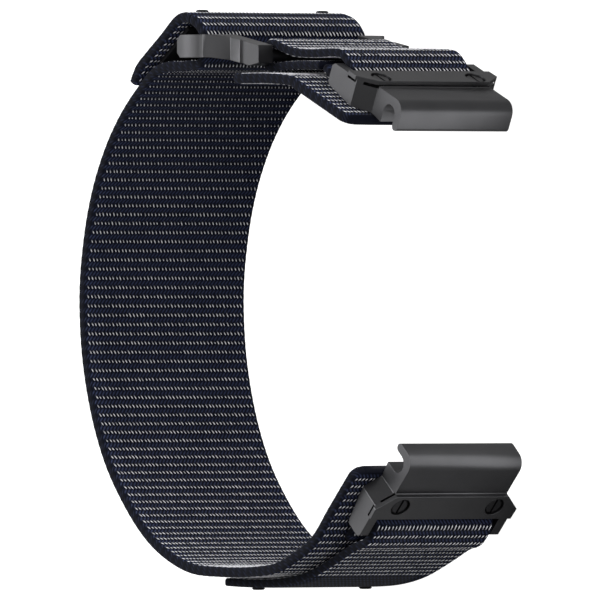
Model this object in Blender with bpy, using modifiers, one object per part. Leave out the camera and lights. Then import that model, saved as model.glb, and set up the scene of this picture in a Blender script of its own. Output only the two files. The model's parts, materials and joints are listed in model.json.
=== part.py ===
"""Woven hook-and-loop band for a wrist tracker, lying on its side.

Plan coordinates: X towards the gap where the tracker sits, Y across the wrist
loop, Z along the forearm.  Lengths are metres.
"""

import math

import bmesh
import bpy
from mathutils import Matrix, Vector

MM = 0.001
COLLECTION = "tracker_band"

# Fabric
BAND_WIDTH = 22.0 * MM
BAND_THICK = 1.0 * MM
WEB_WIDTH = 16.0 * MM
WEB_THICK = 0.8 * MM
TAPER_LENGTH = 2.2 * MM      # over which the wide band narrows towards its end
END_TRIM = 0.75 * MM         # taken off each side of the wide band at its end
LAYER_GAP = 0.25 * MM        # air between two layers of fabric
CLEAR = 0.3 * MM             # air between parts that do not move together
SEAM = 0.1 * MM              # air between the fabric and what is sewn to it

# Hook tape on the tail, and the bar tacks
PATCH_THICK = 0.45 * MM
PATCH_WIDTH = BAND_WIDTH - 3.0 * MM
TACK_LENGTH = 1.4 * MM
TACK_WIDTH = 0.9 * MM
TACK_THICK = 0.3 * MM
TACK_ROUND = 0.1 * MM
WEB_TACK_SPACING = WEB_WIDTH - TACK_LENGTH
FOLD_TACK_SPACING = BAND_WIDTH - 4 * TACK_LENGTH

# Connector, in its own frame: u runs from the rear bar to the hook, v points away from the wrist
WALL = 1.15 * MM
FRAME_LENGTH = 4.55 * MM
NECK_LENGTH = 1.5 * MM
HOOK_WIDTH = WEB_WIDTH - 0.8 * MM
HOOK_WALL = 0.95 * MM
HOOK_CROWN = 1.35 * MM       # radius of the hook's outer corner
EDGE_TRIM = 0.35 * MM        # cut off the frame's rear edges and the claw's tip
CHANNEL = 2.0 * MM           # width of the groove that takes the tracker's lug bar
CHANNEL_START = 7.85 * MM
REAR_DEPTH = 2.5 * MM
FRONT_DEPTH = 3.15 * MM
HOOK_DEPTH = 3.55 * MM
HOOK_STEP = 0.25 * MM        # the hook's back lies this far below the plate
BAR_RADIUS = 0.6 * MM
BAR_SETBACK = 0.8 * MM       # from the frame's rear edge to the bar's axis
PLATE_THICK = 0.5 * MM
PLATE_START = 3.05 * MM
SCREW_HEAD = 2.0 * MM
SCREW_SHANK = 1.0 * MM
SCREW_LENGTH = 1.9 * MM
SCREW_SPACING = HOOK_WIDTH - 2.4 * MM
SCREW_EDGE = 0.1 * MM        # cut off the head's rim
DRIVE_DEPTH = 0.2 * MM
DRIVE_WIDTH = 0.24 * MM
SCREW_U = 4.7 * MM
POCKET_START = 3.5 * MM
POCKET_TOP = 1.6 * MM
RAIL_TOP = 2.65 * MM
LATCH_WIDTH = 8.4 * MM
LATCH_FLANGE = 0.8 * MM
LATCH_START = 6.0 * MM
LATCH_FACE = 3.25 * MM
FLANGE_THICK = 0.5 * MM
CLAW_REACH = 1.55 * MM
SPRING_RADIUS = 0.3 * MM
SPRING_WIRE = 0.1 * MM
SPRING_TURNS = 5
SPRING_SIDES = 8             # straight steps in each turn
SPRING_SPACING = 4.4 * MM

# Where the connectors' rear outer corners lie, and how far they are turned
UPPER_CORNER = (14.5 * MM, 25.4 * MM)
UPPER_TURN = math.radians(-23.5)
LOWER_CORNER = (18.8 * MM, -25.4 * MM)
LOWER_TURN = math.radians(46.7)

# Ring
RING_WALL = 1.0 * MM
RING_ROOM = 0.4 * MM         # beside the band, in the ring's wide slot
RING_WIDTH = BAND_WIDTH + 2 * (RING_ROOM + RING_WALL)
RING_LEFT = (-8.05 * MM, 27.25 * MM)
RING_RIGHT = (1.7 * MM, 26.2 * MM)
RING_BAR_LENGTH = 1.9 * MM
RING_BAR_THICK = 2.5 * MM
RING_PIN_RADIUS = 0.6 * MM
RING_END_MARGIN = 0.85 * MM
RING_CORNER = 0.55 * MM
RING_SLOT = 3.2 * MM         # room for the band to pass up through the ring
RING_STEP = 1.6 * MM         # length over which the ring narrows to the webbing
RING_ARM = 2.0 * MM          # wall beside the webbing
RING_DROP = 0.9 * MM         # the narrow end lies this much nearer the wrist
RING_DIP = 0.25 * MM         # depth of the hollow worn into each end by the band's edge
RING_NOTCH = 0.8 * MM        # width of the step between the arm and the narrow end

# Distance from a bar's axis to the middle of the webbing wrapped round it
WRAP = BAR_RADIUS + CLEAR + WEB_THICK / 2
SLOT_WIDTH = WEB_WIDTH + 2 * CLEAR
FRAME_WIDTH = SLOT_WIDTH + 2 * WALL
BAR_DEPTH = WRAP + WEB_THICK / 2 - CLEAR      # the wrap stands CLEAR above the plate
# Middle of the wide band where it backs a connector: clear of the hook and of the wrap
LINING_DEPTH = max(HOOK_DEPTH, BAR_DEPTH + WRAP + WEB_THICK / 2 + LAYER_GAP) + BAND_THICK / 2
HOOK_END = CHANNEL_START + CHANNEL + HOOK_WALL
RAISE = RING_WIDTH / 2                        # the ring's lower end stands on the table
SHIFT = (1.369 * MM, -0.025 * MM)              # moves the loop's middle to the origin


def clear_scene():
    for obj in list(bpy.data.objects):
        bpy.data.objects.remove(obj, do_unlink=True)


def new_collection(name):
    collection = bpy.data.collections.new(name)
    bpy.context.scene.collection.children.link(collection)
    return collection


def plain_material(name, colour, roughness, metallic=0.0):
    material = bpy.data.materials.new(name)
    material.use_nodes = True
    shader = material.node_tree.nodes["Principled BSDF"]
    shader.inputs["Base Color"].default_value = (*colour, 1.0)
    shader.inputs["Roughness"].default_value = roughness
    shader.inputs["Metallic"].default_value = metallic
    return material


def add_object(name, data, collection, material=None, parent=None):
    obj = bpy.data.objects.new(name, data)
    collection.objects.link(obj)
    if material:
        data.materials.append(material)
    obj.parent = parent
    return obj


def set_cutter(obj):
    obj.hide_render = True
    obj.display_type = "WIRE"


def cut(obj, cutter, operation="DIFFERENCE"):
    modifier = obj.modifiers.new(cutter.name, "BOOLEAN")
    modifier.operation = operation
    modifier.solver = "EXACT"
    modifier.object = cutter


def prism(name, outline, half_depth, axis="Z"):
    """Mesh of an outline extruded both ways along Z, or of a (u, z) outline along v."""
    bm = bmesh.new()
    if axis == "Z":
        points = [(x, y, -half_depth) for x, y in outline]
        move = Vector((0, 0, 2 * half_depth))
    else:
        points = [(x, -half_depth, z) for x, z in outline]
        move = Vector((0, 2 * half_depth, 0))
    face = bm.faces.new([bm.verts.new(p) for p in points])
    extruded = bmesh.ops.extrude_face_region(bm, geom=[face])
    moved = [item for item in extruded["geom"] if isinstance(item, bmesh.types.BMVert)]
    bmesh.ops.translate(bm, verts=moved, vec=move)
    bmesh.ops.recalc_face_normals(bm, faces=bm.faces)
    mesh = bpy.data.meshes.new(name)
    bm.to_mesh(mesh)
    bm.free()
    return mesh


def box_mesh(name, low, high):
    bm = bmesh.new()
    bmesh.ops.create_cube(bm, size=1.0)
    size = [b - a for a, b in zip(low, high)]
    middle = [(a + b) / 2 for a, b in zip(low, high)]
    bmesh.ops.scale(bm, verts=bm.verts, vec=size)
    bmesh.ops.translate(bm, verts=bm.verts, vec=middle)
    mesh = bpy.data.meshes.new(name)
    bm.to_mesh(mesh)
    bm.free()
    return mesh


def rod_mesh(name, radius, length, centre, along="Z", sides=24):
    """Mesh of a round bar centred on a point, along Z or along Y."""
    bm = bmesh.new()
    turn = Matrix.Identity(4)
    if along == "Y":
        turn = Matrix.Rotation(math.radians(90), 4, "X")
    bmesh.ops.create_cone(
        bm, cap_ends=True, segments=sides, radius1=radius, radius2=radius, depth=length,
        matrix=Matrix.Translation(centre) @ turn,
    )
    mesh = bpy.data.meshes.new(name)
    bm.to_mesh(mesh)
    bm.free()
    return mesh


def arc(centre, radius, start, end, steps):
    """Points on an arc, angles in degrees."""
    points = []
    for i in range(steps + 1):
        angle = math.radians(start + (end - start) * i / steps)
        points.append((centre[0] + radius * math.cos(angle), centre[1] + radius * math.sin(angle)))
    return points


# ---------------------------------------------------------------- fabric

def smooth_path(points, steps=4):
    """Catmull-Rom curve through the points, with a few steps in each span."""
    knots = [Vector(p) for p in points]
    first = knots[0] * 2 - knots[1]
    last = knots[-1] * 2 - knots[-2]
    knots = [first] + knots + [last]
    curve = []
    for a, b, c, d in zip(knots, knots[1:], knots[2:], knots[3:]):
        for i in range(steps):
            t = i / steps
            curve.append(0.5 * (
                2 * b + (c - a) * t + (2 * a - 5 * b + 4 * c - d) * t ** 2
                + (3 * b - a - 3 * c + d) * t ** 3
            ))
    curve.append(knots[-2])
    return curve


def ribbon(name, path, widths, thickness, collection, material):
    """A strip of fabric along a plan path, given its thickness by Solidify."""
    bm = bmesh.new()
    rows = []
    for point, width in zip(path, widths):
        rows.append([bm.verts.new((point.x, point.y, s * width / 2)) for s in (-1, 1)])
    for (a, b), (c, d) in zip(rows, rows[1:]):
        bm.faces.new((a, b, d, c))
    mesh = bpy.data.meshes.new(name)
    bm.to_mesh(mesh)
    bm.free()
    obj = add_object(name, mesh, collection, material, PARENTS["loop"])
    solid = obj.modifiers.new("thickness", "SOLIDIFY")
    solid.thickness = thickness
    solid.offset = 0.0
    solid.use_even_offset = True
    return obj


def to_plan(corner, turn, side, u, v):
    """Plan point of a connector's (u, v); side is +1 when v is u turned left, else -1."""
    along = Vector((math.cos(turn), math.sin(turn)))
    out = Vector((-along.y, along.x)) * side
    return Vector(corner) + along * u + out * v


def upper(u, v):
    return to_plan(UPPER_CORNER, UPPER_TURN, 1, u * MM, v)


def lower(u, v):
    return to_plan(LOWER_CORNER, LOWER_TURN, -1, u * MM, v)


def wrap_points(place, start, end, steps=6):
    """Points round the rear bar, from below it (start) to above it (end), in degrees."""
    points = []
    for i in range(steps + 1):
        angle = math.radians(start + (end - start) * i / steps)
        u = (BAR_SETBACK + WRAP * math.cos(angle)) / MM
        v = -BAR_DEPTH + WRAP * math.sin(angle)
        points.append(place(u, v))
    return points


def plan(*pairs):
    return [Vector((x * MM, y * MM)) for x, y in pairs]


def tapered(path, narrow, wide, length):
    """Widths along a path that starts narrow and reaches full width after a length."""
    widths = []
    run = 0.0
    previous = path[0]
    for point in path:
        run += (point - previous).length
        previous = point
        share = min(1.0, run / length)
        share = share * share * (3 - 2 * share)
        widths.append(narrow + (wide - narrow) * share)
    return widths


def beside_bar(*shares):
    """Points round the ring's wide bar, as shares of the room that the folded band needs."""
    room_x = RING_BAR_LENGTH / 2 + CLEAR + BAND_THICK / 2
    room_y = RING_BAR_THICK / 2 + CLEAR + BAND_THICK / 2
    return [Vector(RING_LEFT) + Vector((x * room_x, y * room_y)) for x, y in shares]


def offset_from(centre, distance, *angles):
    """Points at a distance round a centre, angles in degrees."""
    points = []
    for angle in angles:
        turn = math.radians(angle)
        points.append(Vector(centre) + Vector((math.cos(turn), math.sin(turn))) * distance)
    return points


MAIN_POINTS = (
    [lower(6.2, -LINING_DEPTH), lower(3.0, -LINING_DEPTH), lower(0.0, -LINING_DEPTH)]
    + [lower(-4.3, -LINING_DEPTH)]
    + plan((9.4, -27.55), (6.0, -28.75), (1.0, -29.2), (-4.2, -29.2), (-8.6, -28.9))
    + plan((-12.5, -27.6), (-16.0, -25.6), (-19.3, -22.6), (-22.6, -18.5), (-24.8, -14.4))
    + plan((-26.3, -10.2), (-27.25, -6.0), (-27.65, -2.0), (-27.65, 1.6), (-27.2, 5.2))
    + plan((-26.3, 9.2), (-24.9, 13.0), (-23.0, 16.5), (-21.0, 19.2), (-19.2, 21.1))
    + plan((-17.5, 22.6), (-15.9, 23.9), (-14.4, 24.75), (-12.5, 25.1), (-10.4, 25.1))
    + beside_bar((-0.6, -1.0), (0.45, -0.95), (0.9, -0.5), (1.0, 0.1), (0.95, 0.55))
    + plan((-6.75, 28.95), (-7.5, 29.65), (-8.5, 30.15))
)
TAIL_POINTS = plan(
    (-8.5, 30.15), (-9.9, 30.4), (-11.3, 29.9), (-13.6, 28.1), (-16.0, 26.35), (-17.7, 25.0),
    (-18.75, 23.4))
PAD_POINTS = (
    [upper(6.2, -LINING_DEPTH), upper(3.0, -LINING_DEPTH), upper(0.0, -LINING_DEPTH)]
    + [upper(-3.0, -LINING_DEPTH)]
    + plan((8.9, 23.4), (6.3, 23.65), (3.5, 23.75), (1.2, 23.75), (-0.8, 23.75))
)
LOWER_WEB_POINTS = (
    [lower(-2.8, -BAR_DEPTH - WRAP - SEAM), lower(-1.0, -BAR_DEPTH - WRAP)]
    + wrap_points(lower, -90, 78)
    + [lower(-0.9, -BAR_DEPTH + WRAP - SEAM), lower(-2.7, -1.3 * MM)]
    + plan((12.9, -27.75), (8.6, -29.35), (4.7, -30.15), (0.6, -30.45), (-3.0, -30.45), (-6.2, -30.35))
)
UPPER_WEB_POINTS = (
    plan((11.0, 24.85), (12.6, 23.7))
    + wrap_points(upper, -90, 60)
    + plan((14.1, 26.1), (12.4, 26.45), (9.0, 26.4), (6.0, 26.5), (4.1, 26.85))
    + offset_from(RING_RIGHT, WRAP, 78, 120, 162, 200, 240, 282)
    + plan((4.2, 25.1), (7.0, 25.15), (10.2, 25.1))
)


def shorten(path, gap, from_start=True):
    """Pull one end of a path back by a gap."""
    path = list(path)
    end = 0 if from_start else -1
    near = 1 if from_start else -2
    direction = (path[near] - path[end]).normalized()
    path[end] = path[end] + direction * gap
    return path


def make_fabric(parts, navy, black):
    main = shorten(smooth_path(MAIN_POINTS), LAYER_GAP / 2, from_start=False)
    widths = tapered(main, BAND_WIDTH - 2 * END_TRIM, BAND_WIDTH, TAPER_LENGTH)
    ribbon("main_band", main, widths, BAND_THICK, parts, navy)
    tail = shorten(smooth_path(TAIL_POINTS), LAYER_GAP / 2)
    ribbon("tail", tail, [BAND_WIDTH] * len(tail), BAND_THICK, parts, navy)
    pad = smooth_path(PAD_POINTS)
    widths = tapered(pad, BAND_WIDTH - 2 * END_TRIM, BAND_WIDTH, TAPER_LENGTH)
    ribbon("upper_lining", pad, widths, BAND_THICK, parts, navy)
    for name, points in (("lower_webbing", LOWER_WEB_POINTS), ("upper_webbing", UPPER_WEB_POINTS)):
        path = smooth_path(points, steps=3)
        ribbon(name, path, [WEB_WIDTH] * len(path), WEB_THICK, parts, navy)
    make_hook_patch(parts, black)
    make_tacks(parts, black)


def side_step(path, distance):
    """A path moved sideways, to the left of its direction."""
    moved = []
    for i, point in enumerate(path):
        ahead = path[min(i + 1, len(path) - 1)]
        behind = path[max(i - 1, 0)]
        direction = (ahead - behind).normalized()
        moved.append(point + Vector((-direction.y, direction.x)) * distance)
    return moved


def make_hook_patch(parts, black):
    """Hook tape sewn to the inner face of the tail."""
    tail = smooth_path(TAIL_POINTS[2:5])
    path = side_step(tail, BAND_THICK / 2 + PATCH_THICK / 2 + SEAM)
    ribbon("hook_patch", path, [PATCH_WIDTH] * len(path), PATCH_THICK, parts, black)


def make_tack(name, point, direction, height, parts, material):
    """A bar of dense stitching that stands a little proud of the fabric."""
    mesh = box_mesh(
        name,
        (-TACK_WIDTH / 2, -TACK_THICK / 2, -TACK_LENGTH / 2),
        (TACK_WIDTH / 2, TACK_THICK / 2, TACK_LENGTH / 2),
    )
    obj = add_object(name, mesh, parts, material, PARENTS["loop"])
    obj.location = (point.x, point.y, height)
    obj.rotation_euler = (0, 0, math.atan2(direction.y, direction.x))
    bevel = obj.modifiers.new("round", "BEVEL")
    bevel.width = TACK_ROUND
    bevel.segments = 2


def make_tacks(parts, black):
    seats = {
        "lower_tack": (smooth_path(LOWER_WEB_POINTS[-4:]), WEB_THICK, 1, WEB_TACK_SPACING),
        "fold_tack": (smooth_path(TAIL_POINTS[:3]), BAND_THICK, -1, FOLD_TACK_SPACING),
    }
    for name, (path, thickness, side, spacing) in seats.items():
        middle = len(path) // 2
        outer = side_step(path, side * (thickness / 2 + TACK_THICK / 2 + SEAM))
        direction = path[middle + 1] - path[middle - 1]
        for label, end in (("near", 1), ("far", -1)):
            make_tack(f"{name}_{label}", outer[middle], direction, end * spacing / 2, parts, black)


# ---------------------------------------------------------------- connector

def connector_profile():
    """Side outline of the connector body, from the rear edge round the hook."""
    top = -HOOK_STEP
    groove = (CHANNEL_START + CHANNEL / 2, -HOOK_STEP - HOOK_WALL - CHANNEL / 2)
    outline = [(0.0, -EDGE_TRIM), (EDGE_TRIM, 0.0), (FRAME_LENGTH + NECK_LENGTH, 0.0)]
    outline.append((FRAME_LENGTH + NECK_LENGTH + HOOK_STEP, top))
    outline += arc((HOOK_END - HOOK_CROWN, top - HOOK_CROWN), HOOK_CROWN, 90, 0, 6)
    lip = HOOK_WALL / 2
    outline += arc((HOOK_END - lip, -HOOK_DEPTH + lip), lip, 0, -180, 6)
    outline += arc(groove, CHANNEL / 2, 0, 180, 8)
    outline += [(CHANNEL_START, -HOOK_DEPTH), (FRAME_LENGTH + NECK_LENGTH, -HOOK_DEPTH + HOOK_STEP)]
    outline += [(FRAME_LENGTH, -FRONT_DEPTH), (EDGE_TRIM, -REAR_DEPTH), (0.0, -REAR_DEPTH + EDGE_TRIM)]
    return outline


def connector_plan():
    """Outline in (u, z): the frame's full width, then the neck down to the hook."""
    frame = FRAME_WIDTH / 2
    hook = HOOK_WIDTH / 2
    neck = FRAME_LENGTH + NECK_LENGTH
    past = HOOK_END + CLEAR
    half = [(-CLEAR, frame), (FRAME_LENGTH, frame), (neck, hook), (past, hook)]
    return half + [(u, -z) for u, z in reversed(half)]


def plate_outline(inset):
    """Outline in (u, z) of the plate, or of its seat when inset is negative."""
    frame = FRAME_WIDTH / 2 - inset
    hook = HOOK_WIDTH / 2 - inset
    start = PLATE_START + inset
    end = FRAME_LENGTH + NECK_LENGTH - inset
    half = [(start, frame), (FRAME_LENGTH - CLEAR, frame), (end, hook)]
    return half + [(u, -z) for u, z in reversed(half)]


def shifted(mesh, u, v, z=0.0):
    mesh.transform(Matrix.Translation((u, v, z)))
    return mesh


def connector_cutters(cutters, parent):
    """Cutters for the webbing slot, plate seat, latch pocket and screw holes."""
    pocket = LATCH_WIDTH / 2 + CLEAR
    flange = pocket + LATCH_FLANGE
    through = CHANNEL_START + CLEAR
    deep = 2 * HOOK_DEPTH
    slot = SLOT_WIDTH / 2
    meshes = [
        box_mesh("slot", (-deep, -deep, -slot), (PLATE_START, deep, slot)),
        box_mesh("pocket", (POCKET_START, -RAIL_TOP, -flange), (through, -POCKET_TOP, flange)),
        box_mesh("mouth", (POCKET_START, -deep, -pocket), (through, -RAIL_TOP + CLEAR, pocket)),
        shifted(prism("seat", plate_outline(-CLEAR / 2), deep, "Y"), 0, deep - PLATE_THICK),
    ]
    for side in (-1, 1):
        centre = (SCREW_U, -PLATE_THICK, side * SCREW_SPACING / 2)
        reach = 2 * (SCREW_LENGTH + CLEAR)
        radius = SCREW_SHANK / 2 + CLEAR
        meshes.append(rod_mesh("screw_hole", radius, reach, centre, "Y", 16))
    objects = []
    for mesh in meshes:
        cutter = add_object(f"{parent.name}_{mesh.name}", mesh, cutters, None, parent)
        set_cutter(cutter)
        objects.append(cutter)
    return objects


def make_frame(side, parent, parts, cutters, metal):
    """Frame, neck and hook in one piece, with the bar that the webbing loops round."""
    mesh = prism(f"{side}_frame", connector_profile(), FRAME_WIDTH / 2)
    frame = add_object(f"{side}_frame", mesh, parts, metal, parent)
    outline = prism("outline", connector_plan(), 2 * HOOK_DEPTH, "Y")
    limit = add_object(f"{side}_outline", outline, cutters, None, parent)
    set_cutter(limit)
    cut(frame, limit, "INTERSECT")
    for cutter in connector_cutters(cutters, parent):
        cut(frame, cutter)
    centre = (BAR_SETBACK, -BAR_DEPTH, 0)
    bar = add_object(
        f"{side}_bar", rod_mesh("bar", BAR_RADIUS, SLOT_WIDTH + WALL, centre), cutters, None, parent)
    set_cutter(bar)
    cut(frame, bar, "UNION")


def make_plate(side, parent, parts, cutters, metal):
    """Outer plate, a little proud of the hook, with two countersunk screw holes."""
    mesh = prism(f"{side}_plate", plate_outline(CLEAR / 2), PLATE_THICK / 2, "Y")
    plate = add_object(f"{side}_plate", shifted(mesh, 0, -PLATE_THICK / 2 + CLEAR), parts, metal, parent)
    for end in (-1, 1):
        centre = (SCREW_U, 0, end * SCREW_SPACING / 2)
        hole = rod_mesh("hole", SCREW_HEAD / 2 + CLEAR / 2, 4 * PLATE_THICK, centre, "Y", 20)
        cutter = add_object(f"{side}_plate_hole", hole, cutters, None, parent)
        set_cutter(cutter)
        cut(plate, cutter)


def make_screw(name, end, parent, parts, cutters, metal):
    """Pan-head screw with a straight slot in its head."""
    head = PLATE_THICK - CLEAR / 2
    profile = [
        (0.0, 0.0), (SCREW_HEAD / 2 - SCREW_EDGE, 0.0), (SCREW_HEAD / 2, -SCREW_EDGE),
        (SCREW_HEAD / 2, -head), (SCREW_SHANK / 2, -head),
        (SCREW_SHANK / 2, -SCREW_LENGTH), (0.0, -SCREW_LENGTH),
    ]
    bm = bmesh.new()
    verts = [bm.verts.new((x, 0, z)) for x, z in profile]
    for a, b in zip(verts, verts[1:]):
        bm.edges.new((a, b))
    bmesh.ops.spin(
        bm, geom=list(bm.verts) + list(bm.edges), cent=(0, 0, 0), axis=(0, 0, 1),
        angle=math.tau, steps=20, use_merge=True,
    )
    bmesh.ops.remove_doubles(bm, verts=bm.verts, dist=0.01 * MM)
    bmesh.ops.recalc_face_normals(bm, faces=bm.faces)
    mesh = bpy.data.meshes.new(name)
    bm.to_mesh(mesh)
    bm.free()
    mesh.transform(Matrix.Rotation(math.radians(-90), 4, "X"))
    mesh.transform(Matrix.Translation((SCREW_U, CLEAR / 2, end * SCREW_SPACING / 2)))
    screw = add_object(name, mesh, parts, metal, parent)
    slot = box_mesh(
        "drive",
        (-SCREW_HEAD, -DRIVE_DEPTH, -DRIVE_WIDTH / 2), (SCREW_HEAD, SCREW_HEAD, DRIVE_WIDTH / 2))
    cutter = add_object(f"{name}_drive", slot, cutters, None, parent)
    cutter.location = (SCREW_U, CLEAR / 2, end * SCREW_SPACING / 2)
    set_cutter(cutter)
    cut(screw, cutter)


def make_latch(side, parent, parts, cutters, metal):
    """Sliding claw that closes the hook's channel; its flanges run on two rails."""
    top = -POCKET_TOP - CLEAR
    face = -LATCH_FACE
    claw = CHANNEL_START + CLAW_REACH
    outline = [
        (LATCH_START, top), (CHANNEL_START, top), (claw, top - EDGE_TRIM),
        (CHANNEL_START + CLEAR, face), (LATCH_START, face),
    ]
    half = LATCH_WIDTH / 2
    latch = add_object(f"{side}_latch", prism("latch", outline, half), parts, metal, parent)
    flange = half + LATCH_FLANGE
    flanges = box_mesh(
        "flanges",
        (LATCH_START + CLEAR, top - FLANGE_THICK, -flange), (CHANNEL_START - CLEAR, top, flange))
    wings = add_object(f"{side}_flanges", flanges, cutters, None, parent)
    set_cutter(wings)
    cut(latch, wings, "UNION")


def make_spring(name, end, parent, parts, steel):
    """Coil spring between the pocket's rear wall and the latch."""
    start = POCKET_START + CLEAR + SPRING_WIRE
    stop = LATCH_START - CLEAR - SPRING_WIRE
    count = SPRING_TURNS * SPRING_SIDES
    curve = bpy.data.curves.new(name, "CURVE")
    curve.dimensions = "3D"
    curve.bevel_depth = SPRING_WIRE
    curve.bevel_resolution = 2
    curve.use_fill_caps = True
    spline = curve.splines.new("POLY")
    spline.points.add(count)
    middle = -POCKET_TOP - CLEAR - SPRING_RADIUS - SPRING_WIRE
    for i, point in enumerate(spline.points):
        angle = math.tau * i / SPRING_SIDES
        u = start + (stop - start) * i / count
        v = middle + SPRING_RADIUS * math.cos(angle)
        z = end * SPRING_SPACING / 2 + SPRING_RADIUS * math.sin(angle)
        point.co = (u, v, z, 1.0)
    add_object(name, curve, parts, steel, parent)


def make_connector(side, parts, cutters, metal, steel):
    parent = PARENTS[side]
    make_frame(side, parent, parts, cutters, metal)
    make_plate(side, parent, parts, cutters, metal)
    make_latch(side, parent, parts, cutters, metal)
    flip = 1 if side == "upper" else -1          # the lower connector is turned over
    for label, end in (("near", flip), ("far", -flip)):
        make_screw(f"{side}_screw_{label}", end, parent, parts, cutters, steel)
        make_spring(f"{side}_spring_{label}", end, parent, parts, steel)


# ---------------------------------------------------------------- ring

def eight_sided(centre, length, thick, trim):
    """Outline of a bar with its four corners trimmed."""
    a = length / 2
    b = thick / 2
    corners = [
        (a, trim - b), (a, b - trim), (a - trim, b), (trim - a, b),
        (-a, b - trim), (-a, trim - b), (trim - a, -b), (a - trim, -b),
    ]
    return [(centre[0] + x, centre[1] + y) for x, y in corners]


def ring_side():
    """Side outline of the ring: level over the wide bar, then down to the narrow one."""
    left = RING_LEFT[0] - RING_BAR_LENGTH / 2
    bend = RING_LEFT[0] + RING_BAR_LENGTH / 2 + RING_SLOT
    right = RING_RIGHT[0] + RING_END_MARGIN
    top = RING_LEFT[1] + RING_BAR_THICK / 2
    bottom = RING_LEFT[1] - RING_BAR_THICK / 2
    return [
        (right, bottom - RING_DROP + RING_CORNER / 2), (right, top - RING_DROP - RING_CORNER / 2),
        (bend, top), (left + RING_CORNER, top), (left, top - RING_CORNER),
        (left, bottom + RING_CORNER), (left + RING_CORNER, bottom), (bend, bottom),
        (right - 2 * RING_NOTCH, bottom - RING_DROP),
    ]


def ring_outer_end():
    """Upper half, in (x, z), of the ring's outline from above: hollow, step, notch, narrow end."""
    left = RING_LEFT[0] - RING_BAR_LENGTH / 2
    right = RING_RIGHT[0] + RING_END_MARGIN
    bend = RING_LEFT[0] + RING_BAR_LENGTH / 2 + RING_SLOT
    wide = RING_WIDTH / 2
    narrow = SLOT_WIDTH / 2 + RING_ARM
    notch = right - 3 * RING_NOTCH
    steps = 10
    outline = [(left - CLEAR, wide), (left + RING_CORNER, wide)]
    span = bend - left - 2 * RING_CORNER
    for i in range(1, steps):
        share = i / steps
        hollow = RING_DIP * math.sin(math.pi * share) ** 2
        outline.append((left + RING_CORNER + span * share, wide - hollow))
    outline += [(bend - RING_CORNER, wide), (bend + RING_STEP, narrow)]
    outline += [(notch - RING_NOTCH, narrow), (notch - RING_NOTCH, narrow - RING_DIP)]
    outline += [(notch, narrow - RING_DIP), (notch, narrow), (right + CLEAR, narrow)]
    return outline


def ring_inner_end():
    """Upper half, in (x, z), of the opening: the band's slot, then the webbing's."""
    bend = RING_LEFT[0] + RING_BAR_LENGTH / 2 + RING_SLOT
    past = RING_RIGHT[0] + RING_END_MARGIN + 2 * CLEAR
    wide = RING_WIDTH / 2 - RING_WALL
    webbing = SLOT_WIDTH / 2
    return [(RING_LEFT[0], wide), (bend - RING_WALL, wide), (bend, webbing), (past, webbing)]


def make_ring(parts, cutters, metal):
    """Metal loop: the band folds over its wide bar, the webbing holds its narrow one."""
    parent = PARENTS["loop"]
    ring = add_object("ring", prism("ring", ring_side(), RING_WIDTH / 2), parts, metal, parent)
    outer = ring_outer_end()
    inner = ring_inner_end()
    for name, half_outline, operation in (("outer", outer, "INTERSECT"), ("inner", inner, "DIFFERENCE")):
        outline = half_outline + [(x, -z) for x, z in reversed(half_outline)]
        mesh = prism(f"ring_{name}", outline, RING_WIDTH * 2, "Y")
        cutter = add_object(f"ring_{name}", mesh, cutters, None, parent)
        set_cutter(cutter)
        cut(ring, cutter, operation)
    bar = eight_sided(RING_LEFT, RING_BAR_LENGTH, RING_BAR_THICK, RING_CORNER)
    meshes = [
        prism("ring_bar", bar, (RING_WIDTH - RING_WALL) / 2),
        rod_mesh("ring_pin", RING_PIN_RADIUS, SLOT_WIDTH + RING_ARM, (*RING_RIGHT, 0)),
    ]
    for mesh in meshes:
        cutter = add_object(mesh.name, mesh, cutters, None, parent)
        set_cutter(cutter)
        cut(ring, cutter, "UNION")


# ---------------------------------------------------------------- assembly

def make_parents(collection):
    """Empties that place the loop and the two connectors."""
    loop = add_object("loop", None, collection)
    loop.location = (SHIFT[0], SHIFT[1], RAISE)
    upper_place = add_object("upper_connector", None, collection, None, loop)
    upper_place.location = (*UPPER_CORNER, 0)
    upper_place.rotation_euler = (0, 0, UPPER_TURN)
    lower_place = add_object("lower_connector", None, collection, None, loop)
    lower_place.location = (*LOWER_CORNER, 0)
    lower_place.rotation_euler = (math.pi, 0, LOWER_TURN)
    return {"loop": loop, "upper": upper_place, "lower": lower_place}


clear_scene()
PARTS = new_collection(COLLECTION)
CUTTERS = new_collection("cutters")
PARENTS = make_parents(CUTTERS)
NAVY = plain_material("woven_nylon", (0.012, 0.016, 0.035), 0.9)
BLACK = plain_material("black_nylon", (0.006, 0.006, 0.008), 0.95)
METAL = plain_material("coated_steel", (0.05, 0.05, 0.052), 0.45, 1.0)
STEEL = plain_material("spring_steel", (0.3, 0.3, 0.31), 0.3, 1.0)
make_fabric(PARTS, NAVY, BLACK)
make_ring(PARTS, CUTTERS, METAL)
for SIDE in ("upper", "lower"):
    make_connector(SIDE, PARTS, CUTTERS, METAL, STEEL)
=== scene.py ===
# %% [markdown]
# # A woven band for a wrist tracker
# The band lies on its side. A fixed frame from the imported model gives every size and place, and
# this lesson dresses it: woven nylon with raised dashes of pale yarn, bar tacks, hook tape, and
# coated metal hooks and ring with softened edges. Lengths are in metres, so MM turns a
# millimetre into a metre.

# %% Load the frame
import json
import math

import bmesh
import bpy
import numpy as np
from mathutils import Matrix, Vector


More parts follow.
